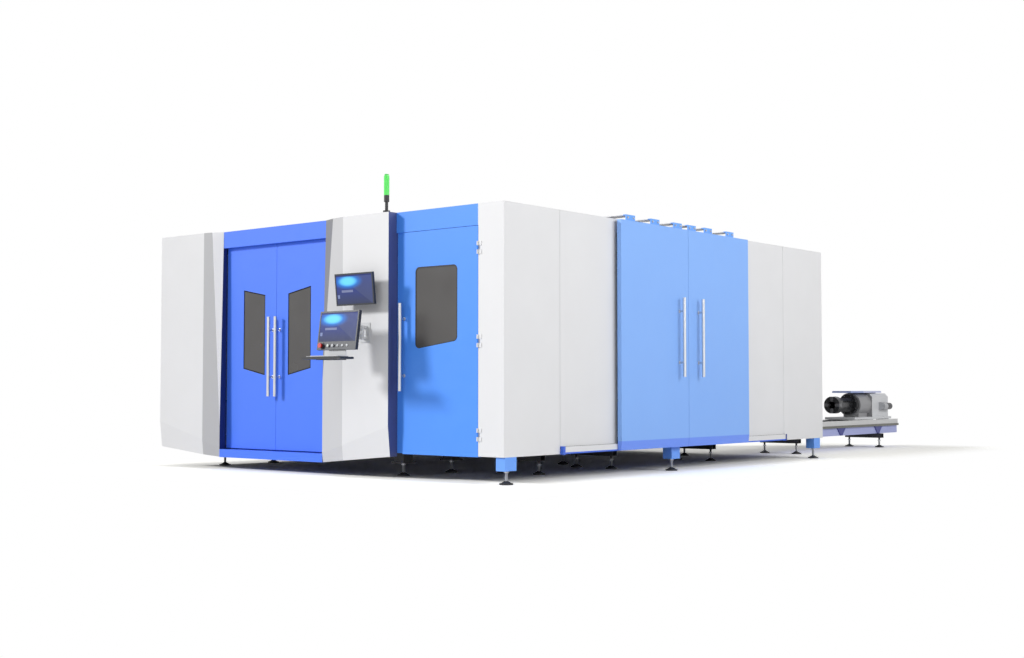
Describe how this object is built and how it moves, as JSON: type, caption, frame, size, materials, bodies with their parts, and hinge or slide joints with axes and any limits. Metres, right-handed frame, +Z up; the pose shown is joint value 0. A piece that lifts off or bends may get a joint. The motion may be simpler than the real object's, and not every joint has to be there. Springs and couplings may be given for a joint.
{
  "type": "laser cutting machine",
  "caption": "Enclosed sheet and tube laser cutting machine with faceted portal, sliding blue doors, operator console and a tube bed with a chuck carriage behind the cabin.",
  "frame": {"origin": "on the floor under the middle of the whole machine's bounding box", "axes": "+Y from the front doors to the tail of the tube bed, +X to the side with the sliding doors, +Z up"},
  "size_m": [4.794, 10.06, 2.752],
  "materials": {
    "white_panels": "satin",
    "blue_doors": "satin",
    "blue_blocks": "satin",
    "frame_paint": "satin",
    "bed_paint": "satin",
    "black_paint": "semi-matt",
    "dark_glass": "polished",
    "steel": "brushed",
    "ground_steel": "ground",
    "cast": "painted",
    "screen": "gloss",
    "black_plastic": "matt",
    "red_plastic": "gloss",
    "green_plastic": "gloss",
    "lamp": "gloss",
    "aluminium": "anodised",
    "white_cast": "satin"
  },
  "bodies": {
    "enclosure": {"enclosure_frame": "frame_paint", "roof_panels": "white_panels", "left_and_back_wall_panels": "white_panels", "side_wall_panels": "white_panels", "corner_cover": "white_panels", "left_pillar_cover": "white_panels", "right_pillar_cover": "white_panels", "portal_frame": "blue_doors", "tube_doorway_frame": "blue_doors", "side_door_rails": "white_panels", "foot_blocks": "blue_blocks", "levelling_feet_and_legs": "black_paint", "signal_tower_stem": "black_plastic", "signal_tower_lamp": "lamp", "screen_brackets": "steel", "machine_bed": "bed_paint", "slat_table": "steel", "linear_rails": "ground_steel", "tube_bed": "bed_paint", "front_chuck_housing": "cast"},
    "front_left_door": {"front_left_door": "blue_doors", "front_left_window": "dark_glass", "front_left_handle": "steel"},
    "front_right_door": {"front_right_door": "blue_doors", "front_right_window": "dark_glass", "front_right_handle": "steel"},
    "tube_door": {"tube_door": "blue_doors", "tube_door_window": "dark_glass", "tube_door_handle": "steel"},
    "side_front_door": {"side_front_door": "blue_doors", "side_front_handle": "steel", "side_front_hangers": "blue_blocks"},
    "side_rear_door": {"side_rear_door": "blue_doors", "side_rear_handle": "steel", "side_rear_hangers": "blue_blocks"},
    "console_arm": {"console_arm": "steel"},
    "console": {"console_housing": "black_plastic", "console_screen": "screen", "keyboard_tray": "black_paint"},
    "emergency_stop": {"emergency_stop": "red_plastic"},
    "start_button": {"start_button": "green_plastic"},
    "stop_button": {"stop_button": "black_plastic"},
    "monitor": {"monitor_housing": "black_plastic", "monitor_screen": "screen"},
    "gantry": {"gantry_beam": "aluminium"},
    "cutting_carriage": {"cutting_carriage": "aluminium"},
    "height_slide": {"height_slide": "aluminium", "cutting_head": "black_paint"},
    "chuck_carriage": {"chuck_carriage": "white_cast", "chuck_cover": "blue_blocks", "chuck_motor": "black_paint", "energy_chain": "black_plastic"},
    "chuck_spindle": {"chuck_body": "cast"},
    "chuck_jaw_1": {"chuck_jaw_1": "ground_steel"},
    "chuck_jaw_2": {"chuck_jaw_2": "ground_steel"},
    "chuck_jaw_3": {"chuck_jaw_3": "ground_steel"},
    "chuck_jaw_4": {"chuck_jaw_4": "ground_steel"},
    "front_chuck_ring": {"front_chuck_ring": "ground_steel"},
    "front_jaw_upper": {"front_jaw_upper": "ground_steel"},
    "front_jaw_lower": {"front_jaw_lower": "ground_steel"}
  },
  "joints": [
    {"name": "front_left_door_slide", "type": "slide", "parent": "enclosure", "child": "front_left_door", "axis": [-1, 0, 0], "range_m": [0, 0.62]},
    {"name": "front_right_door_slide", "type": "slide", "parent": "enclosure", "child": "front_right_door", "axis": [1, 0, 0], "range_m": [0, 0.62]},
    {"name": "tube_door_hinge", "type": "hinge", "parent": "enclosure", "child": "tube_door", "pos_m": [1.955, -4.38, 1.22], "axis": [0, 0, 1], "range_deg": [0, 100]},
    {"name": "side_front_door_slide", "type": "slide", "parent": "enclosure", "child": "side_front_door", "axis": [0, -1, 0], "range_m": [0, 0.78]},
    {"name": "side_rear_door_slide", "type": "slide", "parent": "enclosure", "child": "side_rear_door", "axis": [0, 1, 0], "range_m": [0, 0.78]},
    {"name": "console_arm_swing", "type": "hinge", "parent": "enclosure", "child": "console_arm", "pos_m": [0.687, -4.52, 1.32], "axis": [0, 0, 1], "range_deg": [-25, 25]},
    {"name": "console_tilt", "type": "hinge", "parent": "console_arm", "child": "console", "pos_m": [0.687, -4.73, 1.32], "axis": [1, 0, 0], "range_deg": [-12, 12]},
    {"name": "emergency_stop_press", "type": "slide", "parent": "console", "child": "emergency_stop", "axis": [0, 0.9903, -0.1392], "range_m": [0, 0.006]},
    {"name": "start_button_press", "type": "slide", "parent": "console", "child": "start_button", "axis": [0, 0.9903, -0.1392], "range_m": [0, 0.003], "stiffness_N_per_m": 900},
    {"name": "stop_button_press", "type": "slide", "parent": "console", "child": "stop_button", "axis": [0, 0.9903, -0.1392], "range_m": [0, 0.003], "stiffness_N_per_m": 900},
    {"name": "monitor_tilt", "type": "hinge", "parent": "enclosure", "child": "monitor", "pos_m": [0.671, -4.53, 1.717], "axis": [1, 0, 0], "range_deg": [-10, 12]},
    {"name": "gantry_travel", "type": "slide", "parent": "enclosure", "child": "gantry", "axis": [0, 1, 0], "range_m": [-3.55, 0.1]},
    {"name": "carriage_travel", "type": "slide", "parent": "gantry", "child": "cutting_carriage", "axis": [1, 0, 0], "range_m": [-0.78, 1.95]},
    {"name": "height_travel", "type": "slide", "parent": "cutting_carriage", "child": "height_slide", "axis": [0, 0, 1], "range_m": [-0.13, 0.05]},
    {"name": "chuck_travel", "type": "slide", "parent": "enclosure", "child": "chuck_carriage", "axis": [0, 1, 0], "range_m": [-4.9, 0]},
    {"name": "chuck_spin", "type": "hinge", "parent": "chuck_carriage", "child": "chuck_spindle", "pos_m": [1.353, 3.93, 0.585], "axis": [0, 1, 0], "continuous": true},
    {"name": "chuck_jaw_1_slide", "type": "slide", "parent": "chuck_spindle", "child": "chuck_jaw_1", "axis": [0, 0, -1], "range_m": [0, 0.03]},
    {"name": "chuck_jaw_2_slide", "type": "slide", "parent": "chuck_spindle", "child": "chuck_jaw_2", "axis": [-1, 0, 0], "range_m": [0, 0.03]},
    {"name": "chuck_jaw_3_slide", "type": "slide", "parent": "chuck_spindle", "child": "chuck_jaw_3", "axis": [0, 0, 1], "range_m": [0, 0.03]},
    {"name": "chuck_jaw_4_slide", "type": "slide", "parent": "chuck_spindle", "child": "chuck_jaw_4", "axis": [1, 0, 0], "range_m": [0, 0.03]},
    {"name": "front_chuck_spin", "type": "hinge", "parent": "enclosure", "child": "front_chuck_ring", "pos_m": [1.353, -2.73, 0.585], "axis": [0, 1, 0], "continuous": true},
    {"name": "front_jaw_upper_slide", "type": "slide", "parent": "front_chuck_ring", "child": "front_jaw_upper", "axis": [0, 0, -1], "range_m": [0, 0.045]},
    {"name": "front_jaw_lower_slide", "type": "slide", "parent": "front_chuck_ring", "child": "front_jaw_lower", "axis": [0, 0, 1], "range_m": [0, 0.045]}
  ],
  "couplings": [
    {"joint": "chuck_jaw_3_slide", "follows": "chuck_jaw_1_slide", "ratio": 1},
    {"joint": "chuck_jaw_4_slide", "follows": "chuck_jaw_2_slide", "ratio": 1},
    {"joint": "front_jaw_lower_slide", "follows": "front_jaw_upper_slide", "ratio": 1}
  ]
}
